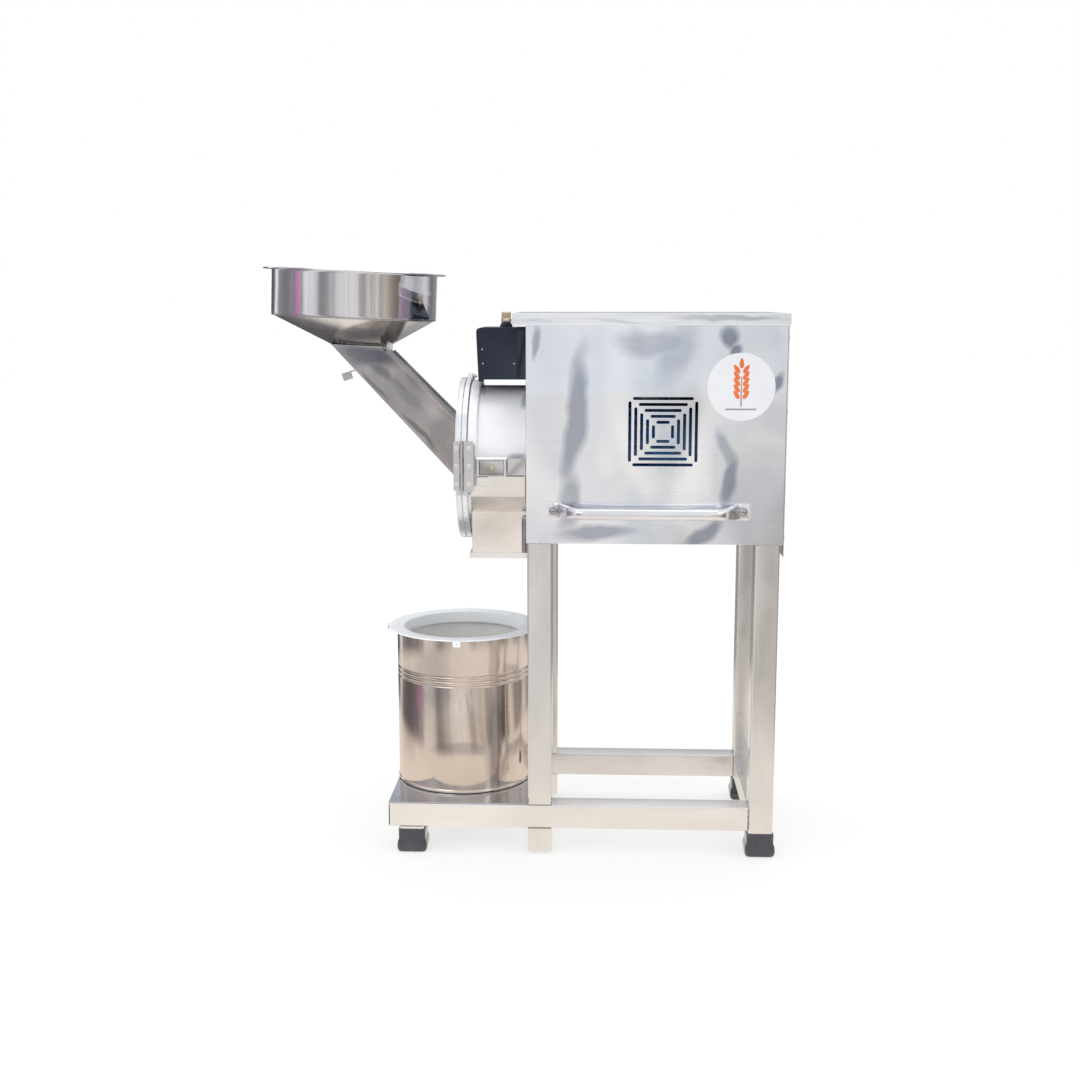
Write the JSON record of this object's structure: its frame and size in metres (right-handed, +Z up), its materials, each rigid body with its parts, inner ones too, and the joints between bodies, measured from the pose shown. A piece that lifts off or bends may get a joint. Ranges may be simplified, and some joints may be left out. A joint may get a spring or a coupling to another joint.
{
  "type": "hammer mill",
  "caption": "Hammer mill with a sheet steel motor box on a tube stand, a hinged grinding chamber, an inclined feed chute with a round hopper, and a round flour container.",
  "frame": {"origin": "on the floor, at the middle of the plan of the whole machine", "axes": "+X along the motor axis from the hopper side to the motor side, +Y from the operator side to the back, +Z up"},
  "size_m": [0.8548, 0.411, 0.9591],
  "materials": {
    "frame_steel": "brushed square tube with weld marks",
    "polished_sheet": "bright polished sheet",
    "inner_steel": "dull milled steel",
    "forged_steel": "dark forged and turned steel",
    "white_ring": "dull white metal",
    "motor_paint": "blue enamel",
    "black_rubber": "glossy black rubber",
    "black_plastic": "black moulded plastic",
    "navy_plastic": "navy black moulded plastic",
    "green_plastic": "green moulded plastic",
    "red_plastic": "red moulded plastic",
    "brass_fitting": "bright ridged brass"
  },
  "bodies": {
    "frame": {"back_plate": "inner_steel", "boot_front_left": "black_rubber", "boot_front_right": "black_rubber", "boot_rear_left": "black_rubber", "boot_rear_right": "black_rubber", "box_lid": "polished_sheet", "cable_gland": "brass_fitting", "clamp_bracket": "polished_sheet", "drive_bearing": "inner_steel", "drive_end_bell": "motor_paint", "drum_flange": "polished_sheet", "drum_shell": "polished_sheet", "fan_bearing": "inner_steel", "fan_cowl": "motor_paint", "front_beam": "frame_steel", "handle_front": "polished_sheet", "handle_rear": "polished_sheet", "hinge_leaf_body": "polished_sheet", "left_beam": "frame_steel", "leg_front_left": "frame_steel", "leg_front_right": "frame_steel", "leg_rear_left": "frame_steel", "leg_rear_right": "frame_steel", "motor_box": "polished_sheet", "motor_frame": "motor_paint", "motor_mount": "forged_steel", "outlet_duct": "polished_sheet", "platform_sheet": "polished_sheet", "rear_beam": "frame_steel", "right_beam": "frame_steel", "screen": "inner_steel", "side_panel": "polished_sheet", "starter_housing": "navy_plastic", "stub_front": "frame_steel", "stub_rear": "frame_steel", "terminal_box": "motor_paint", "wear_liner": "forged_steel"},
    "door": {"door_plate": "polished_sheet", "door_gasket": "black_rubber", "hinge_leaf_door": "polished_sheet", "feed_chute": "polished_sheet", "hopper_cone": "polished_sheet", "hopper_basin": "polished_sheet"},
    "gate": {"feed_gate": "inner_steel"},
    "knob": {"door_knob": "black_plastic"},
    "rotor": {"motor_shaft": "forged_steel", "motor_fan": "black_plastic", "rotor_spool": "forged_steel", "hammer_pin_1": "inner_steel", "hammer_pin_2": "inner_steel", "hammer_pin_3": "inner_steel", "hammer_pin_4": "inner_steel"},
    "hammer_1": {"hammer_1": "forged_steel"},
    "hammer_2": {"hammer_2": "forged_steel"},
    "hammer_3": {"hammer_3": "forged_steel"},
    "hammer_4": {"hammer_4": "forged_steel"},
    "start_button": {"start_button": "green_plastic"},
    "stop_button": {"stop_button": "red_plastic"},
    "container": {"container_body": "polished_sheet"},
    "ring": {"container_ring": "white_ring"}
  },
  "joints": [
    {"name": "door_swing", "type": "hinge", "parent": "frame", "child": "door", "pos_m": [-0.0877, -0.1415, 0.6425], "axis": [0, 0, 1], "range_deg": [0, 100]},
    {"name": "gate_slide", "type": "slide", "parent": "door", "child": "gate", "axis": [-0.9563, 0, -0.2924], "range_m": [0, 0.05]},
    {"name": "knob_turn", "type": "hinge", "parent": "door", "child": "knob", "pos_m": [-0.1, 0.146, 0.6415], "axis": [1, 0, 0], "continuous": true},
    {"name": "rotor_spin", "type": "hinge", "parent": "frame", "child": "rotor", "pos_m": [0, 0, 0.6415], "axis": [1, 0, 0], "continuous": true},
    {"name": "hammer_1_swing", "type": "hinge", "parent": "rotor", "child": "hammer_1", "pos_m": [-0.0435, 0.0396, 0.6811], "axis": [1, 0, 0], "range_deg": [-2, 270]},
    {"name": "hammer_2_swing", "type": "hinge", "parent": "rotor", "child": "hammer_2", "pos_m": [-0.0225, -0.0396, 0.6811], "axis": [1, 0, 0], "range_deg": [-270, 2]},
    {"name": "hammer_3_swing", "type": "hinge", "parent": "rotor", "child": "hammer_3", "pos_m": [-0.0435, -0.0396, 0.6019], "axis": [1, 0, 0], "range_deg": [-180, 90]},
    {"name": "hammer_4_swing", "type": "hinge", "parent": "rotor", "child": "hammer_4", "pos_m": [-0.0225, 0.0396, 0.6019], "axis": [1, 0, 0], "range_deg": [-90, 180]},
    {"name": "start_press", "type": "slide", "parent": "frame", "child": "start_button", "axis": [1, 0, 0], "range_m": [0, 0.004], "stiffness_N_per_m": 300},
    {"name": "stop_press", "type": "slide", "parent": "frame", "child": "stop_button", "axis": [1, 0, 0], "range_m": [0, 0.004], "stiffness_N_per_m": 300},
    {"name": "container_slide", "type": "slide", "parent": "frame", "child": "container", "axis": [-1, 0, 0], "range_m": [0, 0.3]},
    {"name": "ring_lift", "type": "slide", "parent": "container", "child": "ring", "axis": [0, 0, 1], "range_m": [0, 0.08]}
  ]
}
